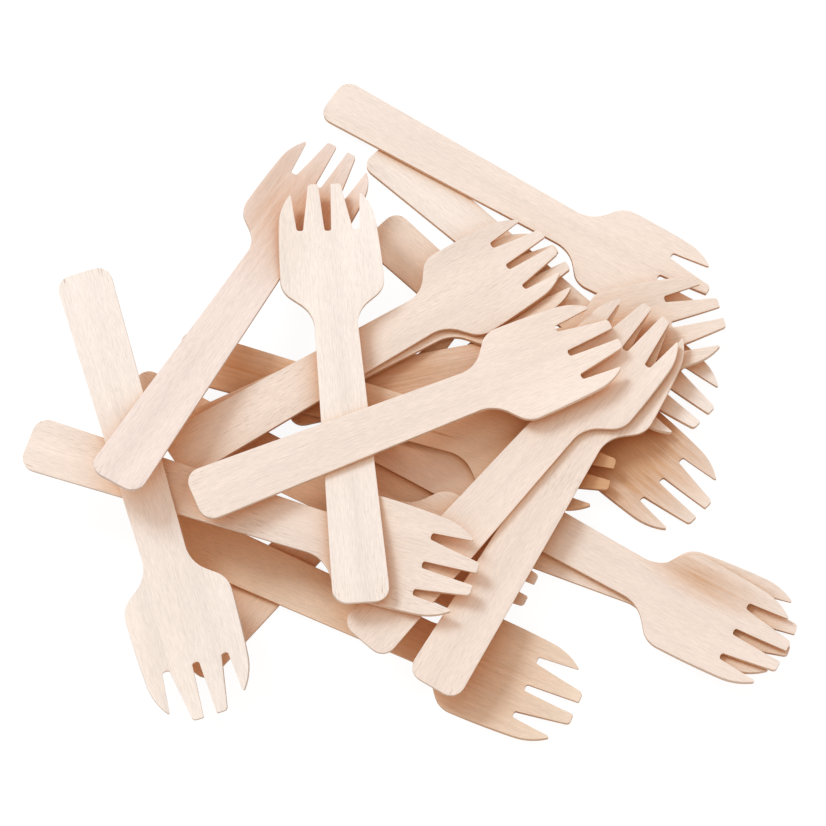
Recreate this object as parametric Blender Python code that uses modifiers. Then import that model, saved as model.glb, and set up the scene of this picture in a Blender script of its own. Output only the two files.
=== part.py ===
"""A pack of disposable wooden cutlery tipped out in a loose heap: nineteen like forks.

Each fork is stamped from flat birch veneer and pressed while damp, so that its head is
a shallow dish and its tines turn up. One blank is made, and every fork is a copy of it.
The forks are laid one on another from the bottom up. Their places in plan are chosen,
and the height and the tilt of each one are where it comes to rest on those below it.
"""

from math import atan2, ceil, cos, hypot, pi, radians, sin, tan

import bmesh
import bpy
import numpy as np
from mathutils import Matrix, Vector
from mathutils.bvhtree import BVHTree

# The fork in plan, with its length along X and its middle line on Y = 0
LENGTH = 0.160
HEAD_LENGTH = 0.057
NECK_WIDTH = 0.0153
HANDLE_END_WIDTH = 0.019
HANDLE_CORNER_RADIUS = 0.005
NECK_RADIUS = 0.012
SHOULDER_RADIUS = 0.0085
SHOULDER_ANGLE = radians(52)
SIDE_LEAN = radians(5)

# The tines, with their widths at the slots' ends; the slots open towards the tips
SLOT_DEPTH = 0.0185
SLOT_WIDTH = 0.0026
SLOT_CORNER_RADIUS = 0.0009
INNER_TINE_WIDTH = 0.0077
OUTER_TINE_WIDTH = 0.007
INNER_TIP_WIDTH = 0.0039
INNER_TIP_LEAN = 0.0009
INNER_TIP_OUTSIDE_RADIUS = 0.0014
INNER_TIP_INSIDE_RADIUS = 0.0004
OUTER_TIP_RADIUS = 0.0004
OUTER_TIP_INSET = 0.0055
OUTER_TIP_SETBACK = 0.0046
TIP_CURVE_LENGTH = 0.0155
SLOT_SPACING = SLOT_WIDTH + INNER_TINE_WIDTH
HEAD_WIDTH = 3 * SLOT_WIDTH + 2 * (INNER_TINE_WIDTH + OUTER_TINE_WIDTH)

# The veneer and its pressing
THICKNESS = 0.0015
DISH_DEPTH = 0.002
TIP_LIFT = 0.0025
TIP_LIFT_LENGTH = 0.034
PRESS_LINES = 6

# The heap: friction and the forks above hold a fork at no more than the lean given here
PLACE_UNIT = 0.001
GAP = 0.0003
MOST_LEAN = radians(10)
LEAN_WAYS = 12
FAR_OFF = 60
SAMPLE_PITCH = 0.0005
SETTLING_ROUNDS = 12
SWAPS = 200
CLOSE_ENOUGH = 1e-7
FLAT_TRIANGLE = 1e-12

VENEER_COLOUR = (0.84, 0.70, 0.56, 1.0)
VENEER_ROUGHNESS = 0.6


def clear_scene():
    for obj in list(bpy.data.objects):
        bpy.data.objects.remove(obj, do_unlink=True)


def arc(centre, radius, start, stop, steps):
    """Points of a circle from one angle to another, both ends among them."""
    angles = [start + (stop - start) * step / steps for step in range(steps + 1)]
    return [(centre[0] + radius * cos(a), centre[1] + radius * sin(a)) for a in angles]


def round_onto(start, lean, tip, tip_radius):
    """Centre and radius of the arc that starts here, leaning inwards, and runs onto the round of the tip."""
    inward = Vector((sin(lean), cos(lean)))
    back = start - tip
    radius = (back.length_squared - tip_radius**2) / (2 * (back.dot(inward) - tip_radius))
    return start - radius * inward, radius


def half_outline():
    """The blank's edge on its +Y side, from the handle's end to the middle slot."""
    neck_half, head_half = NECK_WIDTH / 2, HEAD_WIDTH / 2
    flare = head_half - neck_half
    rounded = (NECK_RADIUS + SHOULDER_RADIUS) * (1 - cos(SHOULDER_ANGLE))
    share = min(1.0, flare / rounded)
    neck_radius, shoulder_radius = NECK_RADIUS * share, SHOULDER_RADIUS * share
    straight = max(0.0, flare - rounded) / sin(SHOULDER_ANGLE)
    neck_at = LENGTH - HEAD_LENGTH
    widest_at = neck_at + (neck_radius + shoulder_radius) * sin(SHOULDER_ANGLE)
    widest_at += straight * cos(SHOULDER_ANGLE)

    corner = (HANDLE_CORNER_RADIUS, HANDLE_END_WIDTH / 2 - HANDLE_CORNER_RADIUS)
    points = arc(corner, HANDLE_CORNER_RADIUS, pi, pi / 2, 3)
    neck = (neck_at, neck_half + neck_radius)
    points += arc(neck, neck_radius, -pi / 2, -pi / 2 + SHOULDER_ANGLE, 4)
    shoulder = (widest_at, head_half - shoulder_radius)
    points += arc(shoulder, shoulder_radius, pi / 2 + SHOULDER_ANGLE, pi / 2, 4)

    # The side of the head narrows slowly, then rounds in to the outer tip.
    flat_radius = (LENGTH - TIP_CURVE_LENGTH - widest_at) / sin(SIDE_LEAN)
    flat = (widest_at, head_half - flat_radius)
    points += arc(flat, flat_radius, pi / 2, pi / 2 - SIDE_LEAN, 3)[1:]
    tip = Vector((LENGTH - OUTER_TIP_SETBACK - OUTER_TIP_RADIUS, head_half - OUTER_TIP_INSET))
    centre, radius = round_onto(Vector(points[-1]), SIDE_LEAN, tip, OUTER_TIP_RADIUS)
    meets = atan2(tip.y - centre.y, tip.x - centre.x)
    points += arc(centre, radius, pi / 2 - SIDE_LEAN, meets, 4)[1:]
    points += arc(tip, OUTER_TIP_RADIUS, meets, -pi / 2, 3)[1:]

    slot_corner_at = LENGTH - SLOT_DEPTH + SLOT_CORNER_RADIUS
    flat_half = SLOT_WIDTH / 2 - SLOT_CORNER_RADIUS
    outer_side = (slot_corner_at, SLOT_SPACING + flat_half)
    points += arc(outer_side, SLOT_CORNER_RADIUS, pi / 2, pi, 2)
    inner_side = (slot_corner_at, SLOT_SPACING - flat_half)
    points += arc(inner_side, SLOT_CORNER_RADIUS, pi, 3 * pi / 2, 2)
    tip_middle = SLOT_SPACING / 2 - INNER_TIP_LEAN
    for side, radius in ((1, INNER_TIP_OUTSIDE_RADIUS), (-1, INNER_TIP_INSIDE_RADIUS)):
        corner = (LENGTH - radius, tip_middle + side * (INNER_TIP_WIDTH / 2 - radius))
        points += arc(corner, radius, pi / 4 + side * pi / 4, -pi / 4 + side * pi / 4, 3)
    points += arc((slot_corner_at, flat_half), SLOT_CORNER_RADIUS, pi / 2, pi, 2)
    points.append((LENGTH - SLOT_DEPTH, 0.0))
    return points


def pressed_height(along, across):
    """How far the press lifts a point of the blank: the head's dish and the turned-up tines."""
    start = LENGTH - HEAD_LENGTH
    reach = min(1.0, max(0.0, (along - start) / (HEAD_LENGTH - SLOT_DEPTH)))
    dish = DISH_DEPTH * (across / (HEAD_WIDTH / 2)) ** 2 * reach * reach * (3 - 2 * reach)
    turned = max(0.0, (along - LENGTH + TIP_LIFT_LENGTH) / TIP_LIFT_LENGTH)
    return dish + TIP_LIFT * turned * turned


def cut_across(blank, point, normal):
    everything = blank.verts[:] + blank.edges[:] + blank.faces[:]
    bmesh.ops.bisect_plane(blank, geom=everything, dist=CLOSE_ENOUGH, plane_co=point, plane_no=normal)


def fork_mesh():
    """The blank as one flat face, crossed by lines where it bends, pressed and given its thickness."""
    half = half_outline()
    outline = half + [(along, -across) for along, across in half[-2::-1]]
    blank = bmesh.new()
    blank.faces.new([blank.verts.new((along, across, 0.0)) for along, across in outline])
    for line in range(PRESS_LINES):
        along = LENGTH - HEAD_LENGTH * (1 - line / PRESS_LINES)
        cut_across(blank, (along, 0, 0), (1, 0, 0))
    cut_across(blank, (0, 0, 0), (0, 1, 0))
    bmesh.ops.triangulate(blank, faces=blank.faces[:])
    for vert in blank.verts:
        vert.co.z = pressed_height(vert.co.x, vert.co.y)
    bmesh.ops.recalc_face_normals(blank, faces=blank.faces[:])
    if sum(face.normal.z for face in blank.faces) < 0:
        bmesh.ops.reverse_faces(blank, faces=blank.faces[:])
    flat = bpy.data.meshes.new("pressed_blank")
    blank.to_mesh(flat)
    blank.free()

    maker = bpy.data.objects.new("pressed_blank", flat)
    bpy.context.scene.collection.objects.link(maker)
    thicken = maker.modifiers.new("Veneer", "SOLIDIFY")
    thicken.thickness = THICKNESS
    thicken.offset = 1.0
    graph = bpy.context.evaluated_depsgraph_get()
    mesh = bpy.data.meshes.new_from_object(maker.evaluated_get(graph))
    bpy.data.objects.remove(maker)
    mesh.name = "pressed_fork"
    return mesh


def surface_samples(mesh):
    """Points all over the fork's two faces and along its edges, one pitch apart."""
    corners = np.array([vert.co for vert in mesh.vertices])
    tree = BVHTree.FromPolygons(list(map(Vector, corners)), [face.vertices for face in mesh.polygons])
    low, high = corners.min(axis=0), corners.max(axis=0)
    up, down = Vector((0, 0, 1)), Vector((0, 0, -1))
    found = []
    for along in np.arange(low[0], high[0], SAMPLE_PITCH):
        for across in np.arange(low[1], high[1], SAMPLE_PITCH):
            under = tree.ray_cast(Vector((along, across, low[2])) + down, up)[0]
            if under:
                over = tree.ray_cast(Vector((along, across, high[2])) + up, down)[0]
                found.extend((under, over))
    for edge in mesh.edges:
        start, stop = corners[edge.vertices[0]], corners[edge.vertices[1]]
        steps = ceil(np.linalg.norm(stop - start) / SAMPLE_PITCH)
        found.extend(start + (stop - start) * step / steps for step in range(steps + 1))
    return np.array(found)


def lowest_plane(places, needed):
    """Lift and slopes of the plane that is nowhere under the needed heights and lowest at the origin.

    It stands on three of the points, at first on three of the far ones that end the list.
    Each round swaps one of them for the point that the plane fails most, so that the
    origin stays inside the three.
    """
    corners = np.column_stack((places, needed))[-LEAN_WAYS :: LEAN_WAYS // 3]
    for _ in range(SWAPS):
        system = np.column_stack((np.ones(3), corners[:, :2]))
        plane = np.linalg.solve(system, corners[:, 2])
        short = needed - plane[0] - places @ plane[1:]
        worst = int(np.argmax(short))
        if short[worst] < CLOSE_ENOUGH:
            break
        choices = []
        for swapped in range(3):
            trial = corners.copy()
            trial[swapped] = (*places[worst], needed[worst])
            matrix = np.column_stack((trial[:, :2], np.ones(3))).T
            if abs(np.linalg.det(matrix)) > FLAT_TRIANGLE:
                weights = np.linalg.solve(matrix, np.array([0.0, 0.0, 1.0]))
                choices.append((weights.min(), swapped, trial))
        corners = max(choices, key=lambda choice: choice[0])[2]
    return plane


def lean_limits(pose):
    """Points far off all round that keep the fork's slope within the most that it leans."""
    ways = np.arange(LEAN_WAYS) * 2 * pi / LEAN_WAYS
    places = FAR_OFF * LENGTH * np.column_stack((np.cos(ways), np.sin(ways)))
    normal = np.array(pose.to_3x3())[:, 2]
    slopes = -normal[:2] / normal[2]
    return places, -np.linalg.norm(places, axis=1) * tan(MOST_LEAN) - places @ slopes


class Heap:
    """The height of what is already laid, cell by cell, with every edge widened by one cell."""

    def __init__(self, reach):
        self.reach = reach
        cells = 2 * ceil(reach / SAMPLE_PITCH) + 1
        self.tops = np.full((cells, cells), -GAP)
        self.widened = self.tops.copy()

    def cell(self, points):
        places = np.rint((points[:, :2] + self.reach) / SAMPLE_PITCH).astype(int)
        return tuple(np.clip(places, 1, len(self.tops) - 2).T)

    def add(self, points):
        np.maximum.at(self.tops, self.cell(points), points[:, 2])
        padded = np.pad(self.tops, 1, mode="edge")
        size = len(self.tops)
        shifts = [padded[i : i + size, j : j + size] for i in range(3) for j in range(3)]
        self.widened = np.max(shifts, axis=0)

    def needed_lift(self, points):
        return self.widened[self.cell(points)] + GAP - points[:, 2]


def settled(pose, samples, heap):
    """The pose brought down until the fork rests on three points around its own centre."""
    for _ in range(SETTLING_ROUNDS):
        points = samples @ np.array(pose.to_3x3()).T + np.array(pose.translation)
        centre = points.mean(axis=0)
        far_places, far_needed = lean_limits(pose)
        places = np.vstack((points[:, :2] - centre[:2], far_places))
        plane = lowest_plane(places, np.append(heap.needed_lift(points), far_needed))
        turn = Matrix.Rotation(hypot(plane[1], plane[2]), 4, Vector((plane[2], -plane[1], 0)))
        pivot = Matrix.Translation(centre)
        pose = Matrix.Translation((0, 0, plane[0])) @ pivot @ turn @ pivot.inverted() @ pose
        if max(abs(plane)) < CLOSE_ENOUGH:
            break
    points = samples @ np.array(pose.to_3x3()).T + np.array(pose.translation)
    lift = heap.needed_lift(points).max()
    heap.add(points + np.array((0, 0, lift)))
    return Matrix.Translation((0, 0, lift)) @ pose


def veneer_material():
    material = bpy.data.materials.new("birch_veneer")
    material.use_nodes = True
    shader = material.node_tree.nodes["Principled BSDF"]
    shader.inputs["Base Color"].default_value = VENEER_COLOUR
    shader.inputs["Roughness"].default_value = VENEER_ROUGHNESS
    shader.inputs["Metallic"].default_value = 0.0
    return material


# Each fork in laying order: where the middle of its handle's end lies in the heap, in
# place units, and the way its head points, in degrees from +X towards +Y.
LAID = (
    (-13, 79, -45),
    (-77, -88, 48),
    (-13, 111, -43.5),
    (-31, 132, -31.5),
    (-45, 6, 12.5),
    (-19.5, -20, -22),
    (-13, -5, -30.5),
    (-91, -37, -24.5),
    (-101, 12, -28),
    (-84, 24, -16.5),
    (6, -99, 59.5),
    (-17, -84, 49.5),
    (-84, -15.5, 30),
    (-83, -20, 34),
    (-132, -15, -17.5),
    (-115, 44, -72.5),
    (-101, -36, 62),
    (-17, -73, 95.5),
    (-74, -38, 24.5),
)


def lay_heap():
    mesh = fork_mesh()
    mesh.materials.append(veneer_material())
    samples = surface_samples(mesh)
    pack = bpy.data.collections.new("wooden_cutlery_pack")
    bpy.context.scene.collection.children.link(pack)
    heap = Heap(LENGTH + max(hypot(x, y) for x, y, _ in LAID) * PLACE_UNIT)
    forks = []
    for number, (x, y, heading) in enumerate(LAID, start=1):
        place = Matrix.Translation((x * PLACE_UNIT, y * PLACE_UNIT, 0.0))
        fork = bpy.data.objects.new(f"fork_{number:02d}", mesh)
        fork.matrix_world = settled(place @ Matrix.Rotation(radians(heading), 4, "Z"), samples, heap)
        pack.objects.link(fork)
        forks.append(fork)
    return forks


def centre_on_origin(forks):
    """The heap moved as one, so that the origin is under the middle of its box."""
    corners = [fork.matrix_world @ vert.co for fork in forks for vert in fork.data.vertices]
    low = [min(corner[axis] for corner in corners) for axis in range(3)]
    high = [max(corner[axis] for corner in corners) for axis in range(3)]
    middle = Vector(((low[0] + high[0]) / 2, (low[1] + high[1]) / 2, low[2]))
    for fork in forks:
        fork.matrix_world = Matrix.Translation(-middle) @ fork.matrix_world


clear_scene()
centre_on_origin(lay_heap())
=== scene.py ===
import math

import bmesh
import bpy
import numpy as np
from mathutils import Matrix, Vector


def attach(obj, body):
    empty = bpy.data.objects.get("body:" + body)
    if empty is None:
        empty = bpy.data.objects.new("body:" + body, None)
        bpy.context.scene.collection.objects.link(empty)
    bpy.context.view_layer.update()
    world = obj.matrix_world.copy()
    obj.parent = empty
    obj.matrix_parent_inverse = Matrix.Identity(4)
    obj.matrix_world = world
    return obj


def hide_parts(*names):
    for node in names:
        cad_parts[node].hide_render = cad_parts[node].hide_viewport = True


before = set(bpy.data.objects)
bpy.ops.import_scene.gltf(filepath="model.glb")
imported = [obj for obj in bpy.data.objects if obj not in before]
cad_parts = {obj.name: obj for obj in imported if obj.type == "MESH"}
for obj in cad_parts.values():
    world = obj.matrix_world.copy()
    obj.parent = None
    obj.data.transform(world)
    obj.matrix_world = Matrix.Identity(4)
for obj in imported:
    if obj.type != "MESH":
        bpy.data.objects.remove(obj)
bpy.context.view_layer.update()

# The pressed blank
# Every fork starts as one flat piece of birch veneer, stamped out in one stroke and pressed
# while damp, so that the head is a shallow dish and the four tines turn up a little.

MM = 0.001
LENGTH = 160 * MM
HEAD_LENGTH = 57 * MM
NECK_HALF = 15.3 * MM / 2
HANDLE_END_HALF = 19 * MM / 2
HANDLE_CORNER_RADIUS = 5 * MM
NECK_RADIUS = 12 * MM
SHOULDER_RADIUS = 8.5 * MM
SHOULDER_ANGLE = math.radians(52)
SIDE_LEAN = math.radians(5)
SLOT_DEPTH = 18.5 * MM
SLOT_HALF = 2.6 * MM / 2
SLOT_CORNER_RADIUS = 0.9 * MM
INNER_TINE_WIDTH = 7.7 * MM
OUTER_TINE_WIDTH = 7 * MM
INNER_TIP_HALF = 3.9 * MM / 2
INNER_TIP_LEAN = 0.9 * MM
INNER_TIP_OUTSIDE_RADIUS = 1.4 * MM
INNER_TIP_INSIDE_RADIUS = 0.4 * MM
OUTER_TIP_RADIUS = 0.4 * MM
OUTER_TIP_INSET = 5.5 * MM
OUTER_TIP_SETBACK = 4.6 * MM
TIP_CURVE_LENGTH = 15.5 * MM
SLOT_SPACING = 2 * SLOT_HALF + INNER_TINE_WIDTH
HEAD_HALF = 3 * SLOT_HALF + INNER_TINE_WIDTH + OUTER_TINE_WIDTH
THICKNESS = 1.5 * MM
DISH_DEPTH = 2 * MM
TIP_LIFT = 2.5 * MM
TIP_LIFT_LENGTH = 34 * MM

# Where each stretch of the blank's edge gives way to the next, from the handle to the tips
NECK_AT = LENGTH - HEAD_LENGTH
FLARE = HEAD_HALF - NECK_HALF - (NECK_RADIUS + SHOULDER_RADIUS) * (1 - math.cos(SHOULDER_ANGLE))
FLARE_STARTS = NECK_AT + NECK_RADIUS * math.sin(SHOULDER_ANGLE)
FLARE_ENDS = FLARE_STARTS + FLARE / math.tan(SHOULDER_ANGLE)
WIDEST_AT = FLARE_ENDS + SHOULDER_RADIUS * math.sin(SHOULDER_ANGLE)
CURVE_STARTS = LENGTH - TIP_CURVE_LENGTH
FLAT_RADIUS = (CURVE_STARTS - WIDEST_AT) / math.sin(SIDE_LEAN)
OUTER_TIP = Vector((LENGTH - OUTER_TIP_SETBACK - OUTER_TIP_RADIUS, HEAD_HALF - OUTER_TIP_INSET))
ROOT_AT = LENGTH - SLOT_DEPTH
SLOT_CORNER_AT = ROOT_AT + SLOT_CORNER_RADIUS
SLOT_FLAT = SLOT_HALF - SLOT_CORNER_RADIUS
INNER_TIP_MIDDLE = SLOT_SPACING / 2 - INNER_TIP_LEAN

# The curve in to the outer tip starts along the flat side and runs onto the round of the tip.
CURVE_START = Vector((CURVE_STARTS, HEAD_HALF - FLAT_RADIUS * (1 - math.cos(SIDE_LEAN))))
INWARD = Vector((math.sin(SIDE_LEAN), math.cos(SIDE_LEAN)))
BACK = CURVE_START - OUTER_TIP
CURVE_RADIUS = (BACK.length_squared - OUTER_TIP_RADIUS ** 2) / (2 * (BACK.dot(INWARD) - OUTER_TIP_RADIUS))
CURVE_CENTRE = CURVE_START - CURVE_RADIUS * INWARD
CURVE_ENDS = OUTER_TIP.x + OUTER_TIP_RADIUS * (OUTER_TIP - CURVE_CENTRE).normalized().x


def circle_rise(radius, offset):
    """Height of a circle of this radius over its middle line, at this distance from its centre."""
    return np.sqrt(np.maximum(radius ** 2 - offset ** 2, 0.0))


def half_width(along):
    """Half the fork's width at each place: a rounded end, a straight taper to the neck, a hollow arc,
    a straight flare, a round shoulder, one flat arc and one rounder arc that ends on the outer tip."""
    end = HANDLE_END_HALF - HANDLE_CORNER_RADIUS
    end = end + circle_rise(HANDLE_CORNER_RADIUS, HANDLE_CORNER_RADIUS - along)
    taper = np.interp(along, (HANDLE_CORNER_RADIUS, NECK_AT), (HANDLE_END_HALF, NECK_HALF))
    neck = NECK_HALF + NECK_RADIUS - circle_rise(NECK_RADIUS, along - NECK_AT)
    flare_low = NECK_HALF + NECK_RADIUS * (1 - math.cos(SHOULDER_ANGLE))
    flare = flare_low + (along - FLARE_STARTS) * math.tan(SHOULDER_ANGLE)
    shoulder = HEAD_HALF - SHOULDER_RADIUS + circle_rise(SHOULDER_RADIUS, WIDEST_AT - along)
    side = HEAD_HALF - FLAT_RADIUS + circle_rise(FLAT_RADIUS, along - WIDEST_AT)
    curve = CURVE_CENTRE.y + circle_rise(CURVE_RADIUS, along - CURVE_CENTRE.x)
    tip = OUTER_TIP.y + circle_rise(OUTER_TIP_RADIUS, along - OUTER_TIP.x)
    limits = (HANDLE_CORNER_RADIUS, NECK_AT, FLARE_STARTS, FLARE_ENDS, WIDEST_AT, CURVE_STARTS, CURVE_ENDS)
    return np.choose(np.searchsorted(limits, along), (end, taper, neck, flare, shoulder, side, curve, tip))


def slot_side(along, slot_middle, turned, tip_edge, tip_radius, tip_at):
    """A tine's edge along its slot: the slot's rounded corner, then a straight line to the round of the
    tip's corner. turned is +1 where the tine lies above the slot and -1 where it lies below."""
    corner = slot_middle + turned * (SLOT_FLAT + circle_rise(SLOT_CORNER_RADIUS, SLOT_CORNER_AT - along))
    straight = np.interp(along, (SLOT_CORNER_AT, tip_at), (slot_middle + turned * SLOT_HALF, tip_edge))
    tip = tip_edge + turned * (tip_radius - circle_rise(tip_radius, along - tip_at))
    return np.choose(np.searchsorted((SLOT_CORNER_AT, tip_at), along), (corner, straight, tip))


def pressed_height(along, across):
    """The press's form: a dish that deepens with the square of the distance from the middle line,
    smoothly let in from the neck, and tines that turn up with the square of the way past the bend."""
    reach = np.clip((along - NECK_AT) / (HEAD_LENGTH - SLOT_DEPTH), 0.0, 1.0)
    dish = DISH_DEPTH * (across / HEAD_HALF) ** 2 * reach ** 2 * (3 - 2 * reach)
    turned = np.maximum(0.0, (along - LENGTH + TIP_LIFT_LENGTH) / TIP_LIFT_LENGTH)
    return dish + TIP_LIFT * turned ** 2


# Columns across a lane of the blank, and rows along each stretch of it
WIDE_LANE = 7
NARROW_LANE = 1
ROUND_ROWS = 7
HANDLE_ROWS = 35
SHOULDER_ROWS = 25
HEAD_ROWS = 13
TINE_ROWS = 12
NEARLY_QUARTER_TURN = math.radians(86)


def lane(along, left, right, columns):
    """One lane of the blank as a grid: each row runs straight across from its left edge to its right."""
    share = np.linspace(0.0, 1.0, columns + 1)
    across = left[:, None] + (right - left)[:, None] * share
    places = np.stack((np.broadcast_to(along[:, None], across.shape), across), axis=-1)
    corner = np.arange(len(along) * len(share)).reshape(len(along), -1)
    quads = np.stack((corner[:-1, :-1], corner[1:, :-1], corner[1:, 1:], corner[:-1, 1:]), axis=-1)
    return places.reshape(-1, 2), quads.reshape(-1, 4)


def tine_rows(tip_starts, tip_ends):
    """Places of a tine's rows: close together round the slot's corner and round the tip, as the
    cosine and the sine of an even turn, and evenly apart between them."""
    turn = np.linspace(0.0, 1.0, ROUND_ROWS)
    first = ROOT_AT + SLOT_CORNER_RADIUS * (1 - np.cos(turn * math.pi / 2))
    last = tip_starts + (tip_ends - tip_starts) * np.sin(turn * math.pi / 2)
    return np.concatenate((first, np.linspace(SLOT_CORNER_AT, tip_starts, TINE_ROWS + 2)[1:-1], last))


def inner_tine():
    """Rows of an inner tine with its two edges: its tip has a near-square inside corner and a
    round outside one."""
    rows = tine_rows(LENGTH - INNER_TIP_OUTSIDE_RADIUS, LENGTH)
    inside = slot_side(rows, 0.0, 1, INNER_TIP_MIDDLE - INNER_TIP_HALF,
                       INNER_TIP_INSIDE_RADIUS, LENGTH - INNER_TIP_INSIDE_RADIUS)
    outside = slot_side(rows, SLOT_SPACING, -1, INNER_TIP_MIDDLE + INNER_TIP_HALF,
                        INNER_TIP_OUTSIDE_RADIUS, LENGTH - INNER_TIP_OUTSIDE_RADIUS)
    return rows, inside, outside


def outer_tine():
    """Rows of an outer tine with its two edges, which meet in a small round tip."""
    rows = tine_rows(OUTER_TIP.x, OUTER_TIP.x + OUTER_TIP_RADIUS * math.sin(NEARLY_QUARTER_TURN))
    inside = slot_side(rows, SLOT_SPACING, 1, OUTER_TIP.y - OUTER_TIP_RADIUS, OUTER_TIP_RADIUS, OUTER_TIP.x)
    return rows, inside, half_width(rows)


def blank_lanes():
    """The lanes of one half of the body, parted where the slots' corners start, and its two tines."""
    corner = HANDLE_CORNER_RADIUS * (1 - np.cos(np.linspace(0, math.pi / 2, ROUND_ROWS)))
    body = np.concatenate((corner,
                           np.linspace(HANDLE_CORNER_RADIUS, NECK_AT, HANDLE_ROWS + 1)[1:],
                           np.linspace(NECK_AT, WIDEST_AT, SHOULDER_ROWS + 1)[1:],
                           np.linspace(WIDEST_AT, ROOT_AT, HEAD_ROWS + 1)[1:]))
    edge = half_width(body)
    share = edge / half_width(np.array(ROOT_AT))
    parts = (0 * body, share * SLOT_FLAT, share * (SLOT_SPACING - SLOT_FLAT),
             share * (SLOT_SPACING + SLOT_FLAT), edge)
    columns = (NARROW_LANE, WIDE_LANE, 2 * NARROW_LANE, WIDE_LANE)
    lanes = [(body, left, right, count) for left, right, count in zip(parts, parts[1:], columns)]
    return lanes + [(*inner_tine(), WIDE_LANE), (*outer_tine(), WIDE_LANE)]


# Edges where two faces meet at more than SHARP_EDGE are rounded a little.
EDGE_ROUND = 0.2 * MM
EDGE_SEGMENTS = 2
SHARP_EDGE = math.radians(50)
SAME_PLACE = 0.001 * MM


def pressed_fork():
    """Corners and faces of one fork in its own frame: the lanes and their mirror images joined into
    one sheet, pressed, thickened upwards and rounded along its cut edges."""
    sheet = bmesh.new()
    for blank_lane in blank_lanes():
        for side in (1, -1):
            places, quads = lane(*blank_lane)
            places = places * (1, side)
            quads = quads if side > 0 else quads[:, ::-1]
            heights = pressed_height(places[:, 0], places[:, 1])
            corners = [sheet.verts.new(place) for place in np.column_stack((places, heights)).tolist()]
            for quad in quads.tolist():
                sheet.faces.new([corners[index] for index in quad])
    bmesh.ops.remove_doubles(sheet, verts=sheet.verts[:], dist=SAME_PLACE)
    bmesh.ops.recalc_face_normals(sheet, faces=sheet.faces[:])
    if sum(face.normal.z for face in sheet.faces) < 0:
        bmesh.ops.reverse_faces(sheet, faces=sheet.faces[:])
    mesh = bpy.data.meshes.new("pressed_sheet")
    sheet.to_mesh(mesh)
    sheet.free()

    maker = bpy.data.objects.new("pressed_sheet", mesh)
    bpy.context.scene.collection.objects.link(maker)
    wall = maker.modifiers.new("Veneer", "SOLIDIFY")
    wall.thickness = THICKNESS
    wall.offset = 1.0
    edge = maker.modifiers.new("Edge", "BEVEL")
    edge.width = EDGE_ROUND
    edge.segments = EDGE_SEGMENTS
    edge.limit_method = "ANGLE"
    edge.angle_limit = SHARP_EDGE
    graph = bpy.context.evaluated_depsgraph_get()
    made = maker.evaluated_get(graph).to_mesh()
    corners = np.empty(len(made.vertices) * 3)
    made.vertices.foreach_get("co", corners)
    faces = [tuple(face.vertices) for face in made.polygons]
    maker.evaluated_get(graph).to_mesh_clear()
    bpy.data.objects.remove(maker)
    bpy.data.meshes.remove(mesh)
    return corners.reshape(-1, 3), faces


def triangles(faces):
    """Every face fanned into triangles."""
    return np.array([(face[0], face[i], face[i + 1]) for face in faces for i in range(1, len(face) - 1)])


def own_axes(corners, faces):
    """Centre of the surface and the three directions of a fork: along to the tips, across, and up.

    They are the principal directions of its surface. The long one is turned away from the end that
    reaches further from the centre, which is the handle's, and up is turned to the side that reaches
    further, which is that of the turned-up tines. Reach is the mean cube of the distance."""
    triples = corners[faces]
    normals = np.cross(triples[:, 1] - triples[:, 0], triples[:, 2] - triples[:, 0])
    areas = np.linalg.norm(normals, axis=1)
    sides = ([0, 1], [1, 2], [2, 0])
    samples = np.concatenate([triples[:, side].mean(axis=1) for side in sides])
    weights = np.tile(areas, len(sides)) / (len(sides) * areas.sum())
    centre = weights @ samples
    offsets = samples - centre
    spread = (offsets * weights[:, None]).T @ offsets
    directions = np.linalg.eigh(spread)[1][:, ::-1].T
    along, up = directions[0], directions[2]
    along = along * -np.sign(weights @ (offsets @ along) ** 3)
    up = up * np.sign(weights @ (offsets @ up) ** 3)
    return centre, np.array((along, np.cross(up, along), up))


fork_corners, fork_faces = pressed_fork()
fork_centre, fork_axes = own_axes(fork_corners, triangles(fork_faces))

# Birch veneer
# The faces are bare rotary-cut birch, pale and matt, with a fine straight grain, short dark
# pores along it and soft broad bands of tone. The cut edges are a little darker.

WHITE_BIRCH = (0.88, 0.775, 0.70)
PINK_BIRCH = (0.83, 0.695, 0.625)
CREAM_BIRCH = (0.85, 0.72, 0.63)
WARM_BIRCH = (0.83, 0.69, 0.59)
HONEY_BIRCH = (0.84, 0.68, 0.545)
PORE_BROWN = (0.33, 0.21, 0.13)
# Brown for stains and for painted shade on forks that lie in the shadow of others
SHADE_AND_STAIN_BROWN = (0.75, 0.52, 0.34)
CUT_EDGE_TONE = 0.85

# How closely each pattern repeats, to the metre: along the grain, across it and through the sheet
BANDS = (9, 140, 140)
FIBRES = (300, 2800, 2800)
DARK_LINES = (80, 2200, 2200)
PORE_PATCHES = (28, 60, 60)
PORE_DASHES = (260, 3800, 3800)
SHADE_AND_STAIN_STREAKS = (35, 800, 800)

# What a pattern's low and high places do to the tone, or to a stain's strength
BAND_TONES = (0.95, 1.03)
FIBRE_TONES = (0.87, 1.10)
DARK_LINE_TONES = (1.0, 0.93)
STREAK_SHARES = (0.7, 1.15)

# How far the patterns slide from one fork to the next, in metres of veneer
NEXT_FORK = (0.37, 0.19, 0.11)

# The stamp tore the fibres near the handle's end and its corners. Over the first stretch the torn
# look fades along the handle, and over the second it grows from the middle line to the sides.
TORN_LENGTH = (1 * MM, 14 * MM)
TORN_SIDE = (3 * MM, 8.5 * MM)
TORN_MIDDLE = 0.1
TORN_PORES = 0.8

# Light that goes from fork to fork turns honey-coloured: by HONEY_LIGHT to the power of HONEY_POWER
# where no sky is seen within GAP_REACH, and not at all where the OPEN_SKY share of it is seen.
HONEY_LIGHT = (0.97, 0.80, 0.63)
HONEY_POWER = 3.5
OPEN_SKY = 0.82
GAP_REACH = 40 * MM

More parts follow.
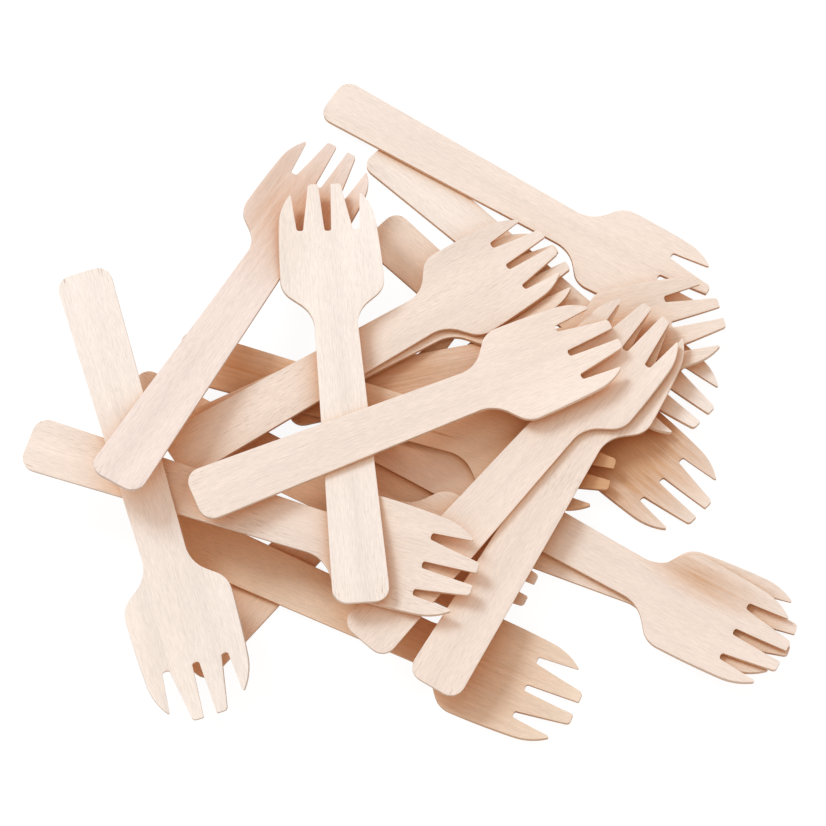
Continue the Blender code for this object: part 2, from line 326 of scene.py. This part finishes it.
WOOD_ROUGHNESS = 0.62
WOOD_SPECULAR = 0.3
FIBRE_RELIEF = 0.2 * MM
FIBRE_RELIEF_SHARE = 0.5


def veneer(name, tone, number, pores, shade_and_stains):
    """Bare birch in one tone. The grain runs with the blank attribute's X, and the number slides
    each fork to its own part of the pattern. Pores is how dark the patches of pores are, and each
    entry of the patches is a streaky brown patch, painted shade on some forks and a brown stain on
    others: how far along and across the fork its middle lies, half its length and half its width,
    all in mm, and its strength."""
    material = bpy.data.materials.new(name)
    material.use_nodes = True
    nodes, links = material.node_tree.nodes, material.node_tree.links
    shader = nodes["Principled BSDF"]

    def node(kind, **settings):
        """A new node. Each keyword is a setting, or a socket's value where there is no such setting."""
        made = nodes.new(kind)
        for key, value in settings.items():
            if hasattr(made, key):
                setattr(made, key, value)
            else:
                made.inputs[key.replace("_", " ")].default_value = value
        return made

    def wire(source, target, socket):
        """A link from an output to a node's socket."""
        links.new(source, target.inputs[socket])

    blank = node("ShaderNodeAttribute", attribute_name="blank")
    slide = node("ShaderNodeMapping", Location=[number * step for step in NEXT_FORK])
    wire(blank.outputs["Vector"], slide, "Vector")

    def pattern(repeats, detail=2.0, roughness=0.5):
        """Noise stretched along the grain, from 0 to 1 and mostly near the middle."""
        stretch = node("ShaderNodeMapping", Scale=repeats)
        wire(slide.outputs["Vector"], stretch, "Vector")
        noise = node("ShaderNodeTexNoise", Scale=1.0, Detail=detail, Roughness=roughness)
        wire(stretch.outputs["Vector"], noise, "Vector")
        return noise.outputs["Fac"]

    def ramp(source, low, high, low_value, high_value):
        """A straight ramp from low_value at low to high_value at high, level outside them."""
        remap = node("ShaderNodeMapRange", From_Min=low, From_Max=high, To_Min=low_value, To_Max=high_value)
        wire(source, remap, "Value")
        return remap.outputs["Result"]

    def times(first, second):
        """The first output times the second, which is an output or a plain number."""
        product = node("ShaderNodeMath", operation="MULTIPLY")
        wire(first, product, 0)
        if isinstance(second, float):
            product.inputs[1].default_value = second
        else:
            wire(second, product, 1)
        return product.outputs["Value"]

    def larger(first, second):
        """The larger of two outputs."""
        most = node("ShaderNodeMath", operation="MAXIMUM")
        wire(first, most, 0)
        wire(second, most, 1)
        return most.outputs["Value"]

    def mixed(source, factor, colour, blend="MIX"):
        """A colour laid over the source, or multiplied onto it, as strongly as the factor says."""
        mix = node("ShaderNodeMix", data_type="RGBA", blend_type=blend, B=(*colour, 1.0))
        wire(factor, mix, "Factor")
        wire(source, mix, "A")
        return mix.outputs["Result"]

    place = node("ShaderNodeSeparateXYZ")
    wire(blank.outputs["Vector"], place, "Vector")
    from_middle = node("ShaderNodeMath", operation="ABSOLUTE")
    wire(place.outputs["Y"], from_middle, 0)
    torn = times(ramp(place.outputs["X"], *TORN_LENGTH, 1.0, 0.0),
                 ramp(from_middle.outputs["Value"], *TORN_SIDE, TORN_MIDDLE, 1.0))

    bands = ramp(pattern(BANDS, 1.5), 0.3, 0.7, *BAND_TONES)
    fibres = ramp(pattern(FIBRES, 3.0, 0.75), 0.25, 0.75, *FIBRE_TONES)
    dark_lines = ramp(pattern(DARK_LINES, 2.0, 0.6), 0.54, 0.68, *DARK_LINE_TONES)
    patches = times(ramp(pattern(PORE_PATCHES), 0.42, 0.68, 0.0, 1.0), pores)
    dashes = ramp(pattern(PORE_DASHES, 1.0), 0.62, 0.72, 0.0, 1.0)
    pore = times(larger(patches, times(torn, TORN_PORES)), dashes)
    cut_edge = ramp(blank.outputs["Alpha"], 0.0, 1.0, 1.0, CUT_EDGE_TONE)

    tint = node("ShaderNodeMix", data_type="RGBA", blend_type="MULTIPLY", Factor=1.0, A=(*tone, 1.0))
    wire(times(times(times(bands, fibres), dark_lines), cut_edge), tint, "B")
    wood = tint.outputs["Result"]

    # Painted shade and stains: each patch multiplies the wood by a streaky brown, on most forks standing in
    # for the shadow that other forks cast on them.
    streaks = ramp(pattern(SHADE_AND_STAIN_STREAKS), 0.35, 0.65, *STREAK_SHARES)
    for along, across, long_half, wide_half, strength in shade_and_stains:
        spot = node("ShaderNodeMapping", Location=(-along / long_half, -across / wide_half, 0.0),
                    Scale=(1 / (long_half * MM), 1 / (wide_half * MM), 0.0))
        wire(blank.outputs["Vector"], spot, "Vector")
        distance = node("ShaderNodeVectorMath", operation="LENGTH")
        wire(spot.outputs["Vector"], distance, 0)
        share = times(ramp(distance.outputs["Value"], 0.0, 1.0, strength, 0.0), streaks)
        wood = mixed(wood, share, SHADE_AND_STAIN_BROWN, "MULTIPLY")
    wood = mixed(wood, pore, PORE_BROWN)

    # The less sky the wood sees, the more of its light has come from other forks.
    sky = node("ShaderNodeAmbientOcclusion", samples=4, Distance=GAP_REACH)
    honey = node("ShaderNodeGamma", Color=(*HONEY_LIGHT, 1.0))
    wire(ramp(sky.outputs["AO"], 0.0, OPEN_SKY, HONEY_POWER, 0.0), honey, "Gamma")
    deepened = node("ShaderNodeMix", data_type="RGBA", blend_type="MULTIPLY", Factor=1.0)
    wire(wood, deepened, "A")
    wire(honey.outputs["Color"], deepened, "B")
    wire(deepened.outputs["Result"], shader, "Base Color")

    shader.inputs["Roughness"].default_value = WOOD_ROUGHNESS
    shader.inputs["Specular IOR Level"].default_value = WOOD_SPECULAR
    relief = node("ShaderNodeBump", Strength=FIBRE_RELIEF_SHARE, Distance=FIBRE_RELIEF)
    wire(fibres, relief, "Height")
    wire(relief.outputs["Normal"], shader, "Normal")
    return material


# The heap
# Nineteen loose forks lie as they fell, each resting on those under it. Every fork takes the
# exact place of its solid in the frame. Only its tone, grain, pores, stains and painted shade are its own.

TONES = {
    "fork_01": WARM_BIRCH, "fork_02": WARM_BIRCH, "fork_03": WHITE_BIRCH, "fork_04": CREAM_BIRCH,
    "fork_05": WARM_BIRCH, "fork_06": CREAM_BIRCH, "fork_07": CREAM_BIRCH, "fork_08": HONEY_BIRCH,
    "fork_09": CREAM_BIRCH, "fork_10": HONEY_BIRCH, "fork_11": CREAM_BIRCH, "fork_12": CREAM_BIRCH,
    "fork_13": CREAM_BIRCH, "fork_14": CREAM_BIRCH, "fork_15": CREAM_BIRCH, "fork_16": WHITE_BIRCH,
    "fork_17": PINK_BIRCH, "fork_18": WHITE_BIRCH, "fork_19": CREAM_BIRCH,
}

# Four forks show more pores or fewer than the rest, and six have brown patches, each with the five
# numbers that veneer takes. On fork_01 and fork_08 the patch is painted shade over the head and on
# fork_05 painted shade on the handle, where other forks shade them. On fork_10 it is painted shade
# on the handle, in the bend of the neck and on the tines. On fork_07 the patch is a narrow brown
# streak on the head, and on fork_17 a browner band across the head.
USUAL_PORES = 0.2
PORES = {"fork_11": 0.4, "fork_14": 0.45, "fork_15": 0.6, "fork_19": 0.1}
PAINTED_SHADE_AND_STAINS = {
    "fork_01": ((112, 2, 48, 46, 2.1),),
    "fork_05": ((45, 0, 45, 24, 0.9),),
    "fork_07": ((122, 11, 30, 9, 1.0),),
    "fork_08": ((124, 0, 40, 40, 0.6),),
    "fork_10": ((98, -2.3, 9, 0.6, 1.0), (22, 0, 60, 16, 0.9), (158, 0, 24, 26, 1.8)),
    "fork_17": ((128, 4, 40, 36, 0.7),),
}

# A corner is on the cut edge where a face at it stands steeper than 60 degrees. Faces that meet at
# more than CREASE are shaded apart, and NO_AREA guards the division for a triangle without area.
STEEP = 0.5
CREASE = math.radians(25)
NO_AREA = 1e-20


def node_triangles(solid):
    """Corners and triangles of a node of the frame."""
    corners = np.empty(len(solid.data.vertices) * 3)
    solid.data.vertices.foreach_get("co", corners)
    solid.data.calc_loop_triangles()
    faces = np.empty(len(solid.data.loop_triangles) * 3, dtype=np.int64)
    solid.data.loop_triangles.foreach_get("vertices", faces)
    return corners.reshape(-1, 3), faces.reshape(-1, 3)


def rim_share(corners, faces):
    """1 on the cut edge and 0 on the two faces, from how level the steepest face at a corner is."""
    flat = triangles(faces)
    triples = corners[flat]
    normals = np.cross(triples[:, 1] - triples[:, 0], triples[:, 2] - triples[:, 0])
    level = np.abs(normals[:, 2]) / np.maximum(np.linalg.norm(normals, axis=1), NO_AREA)
    steepest = np.ones(len(corners))
    np.minimum.at(steepest, flat.reshape(-1), np.repeat(level, 3))
    return np.where(steepest < STEEP, 1.0, 0.0)


# Each corner's place in the blank before it was pressed, and whether it is on the cut edge
fork_rim = rim_share(fork_corners, fork_faces)
fork_blank = fork_corners.copy()
fork_blank[:, 2] -= pressed_height(fork_corners[:, 0], fork_corners[:, 1])


def lay_fork(name, tone, number):
    """A fork with its axes turned onto those of its solid and its centre on the solid's centre."""
    solid_centre, solid_axes = own_axes(*node_triangles(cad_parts[name]))
    placed = (fork_corners - fork_centre) @ fork_axes.T @ solid_axes + solid_centre
    mesh = bpy.data.meshes.new(name + "_wood")
    mesh.from_pydata(placed.tolist(), [], fork_faces)
    attribute = mesh.attributes.new("blank", "FLOAT_COLOR", "POINT")
    attribute.data.foreach_set("color", np.column_stack((fork_blank, fork_rim)).reshape(-1))
    mesh.shade_smooth()
    mesh.set_sharp_from_angle(angle=CREASE)
    pores = PORES.get(name, USUAL_PORES)
    mesh.materials.append(veneer(name + "_veneer", tone, number, pores, PAINTED_SHADE_AND_STAINS.get(name, ())))
    piece = bpy.data.objects.new(name + "_wood", mesh)
    bpy.context.scene.collection.objects.link(piece)
    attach(piece, "root")
    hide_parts(name)


for number, (name, tone) in enumerate(TONES.items(), start=1):
    lay_fork(name, tone, number)

# The table
# The heap lies on a plain white table. To the camera it is a bright sheet on which only a faint
# shadow shows, and to the forks it is an ordinary white board that throws some light back.

TABLE_SIZE = 40
TABLE_BOARD = 0.7
TABLE_ROUGHNESS = 0.9
SHEET_LIGHT = 0.93
SHEET_SHADOW = 0.12


def grey(level):
    """A neutral colour of this brightness."""
    return level, level, level, 1.0


bpy.ops.mesh.primitive_plane_add(size=TABLE_SIZE)
table = bpy.context.object
table.name = "table_top"
white = bpy.data.materials.new("white_table")
white.use_nodes = True
table_nodes, table_links = white.node_tree.nodes, white.node_tree.links
board = table_nodes["Principled BSDF"]
board.inputs["Base Color"].default_value = grey(TABLE_BOARD)
board.inputs["Roughness"].default_value = TABLE_ROUGHNESS
board.inputs["Specular IOR Level"].default_value = 0.0

# The bright sheet is there for rays straight from the camera, or by way of gloss or glass.
seen = table_nodes.new("ShaderNodeLightPath")
seen_clear = table_nodes.new("ShaderNodeMath")
seen_either = table_nodes.new("ShaderNodeMath")
seen_clear.operation = seen_either.operation = "MAXIMUM"
table_links.new(seen.outputs["Is Glossy Ray"], seen_clear.inputs[0])
table_links.new(seen.outputs["Is Transmission Ray"], seen_clear.inputs[1])
table_links.new(seen.outputs["Is Camera Ray"], seen_either.inputs[0])
table_links.new(seen_clear.outputs["Value"], seen_either.inputs[1])
sheet_light = table_nodes.new("ShaderNodeEmission")
sheet_light.inputs["Color"].default_value = grey(SHEET_LIGHT)
sheet_shadow = table_nodes.new("ShaderNodeBsdfDiffuse")
sheet_shadow.inputs["Color"].default_value = grey(SHEET_SHADOW)
bright_sheet = table_nodes.new("ShaderNodeAddShader")
table_links.new(sheet_light.outputs["Emission"], bright_sheet.inputs[0])
table_links.new(sheet_shadow.outputs["BSDF"], bright_sheet.inputs[1])
table_look = table_nodes.new("ShaderNodeMixShader")
table_links.new(seen_either.outputs["Value"], table_look.inputs["Fac"])
table_links.new(board.outputs["BSDF"], table_look.inputs[1])
table_links.new(bright_sheet.outputs["Shader"], table_look.inputs[2])
table_links.new(table_look.outputs["Shader"], table_nodes["Material Output"].inputs["Surface"])
table.data.materials.append(white)

# The light and the camera
# One soft, slightly cool lamp stands at the heap's upper left, and the warm pale room fills the
# shadows, so that level wood is lit neutrally. The camera looks steeply down from the front.

HEAP_MIDDLE = Vector((0.0014, -0.0121, 0.012))
ROOM_COLOUR = (1.0, 0.88, 0.80)
ROOM_STRENGTH = 0.84
LAMP_PLACE = Vector((-0.77, 0.65, 0.97))
LAMP_COLOUR = (0.665, 0.866, 1.0)
LAMP_SIZE = 0.5
LAMP_POWER = 12.6
CAMERA_RISE = math.radians(68)
CAMERA_DISTANCE = 0.70
SENSOR_WIDTH = 36.0
PHOTO_SIDE = 826
PHOTO_SCALE = 2850       # the photograph's pixels to the metre at the heap's middle

world = bpy.data.worlds.new("pale_room")
bpy.context.scene.world = world
world.use_nodes = True
room = world.node_tree.nodes["Background"]
room.inputs["Color"].default_value = (*ROOM_COLOUR, 1.0)
room.inputs["Strength"].default_value = ROOM_STRENGTH

lamp = bpy.data.lights.new("key_lamp", "AREA")
lamp.shape = "DISK"
lamp.size = LAMP_SIZE
lamp.energy = LAMP_POWER
lamp.color = LAMP_COLOUR
lamp_stand = bpy.data.objects.new("key_lamp", lamp)
lamp_stand.location = LAMP_PLACE
lamp_stand.rotation_euler = (HEAP_MIDDLE - LAMP_PLACE).to_track_quat("-Z", "Y").to_euler()
bpy.context.scene.collection.objects.link(lamp_stand)

camera = bpy.data.cameras.new("camera")
camera.sensor_width = SENSOR_WIDTH
camera.lens = PHOTO_SCALE * CAMERA_DISTANCE / PHOTO_SIDE * SENSOR_WIDTH
tripod = bpy.data.objects.new("camera", camera)
tripod.location = HEAP_MIDDLE + CAMERA_DISTANCE * Vector((0, -math.cos(CAMERA_RISE), math.sin(CAMERA_RISE)))
tripod.rotation_euler = (math.pi / 2 - CAMERA_RISE, 0.0, 0.0)
bpy.context.scene.collection.objects.link(tripod)
bpy.context.scene.camera = tripod
bpy.context.scene.view_settings.view_transform = "Standard"
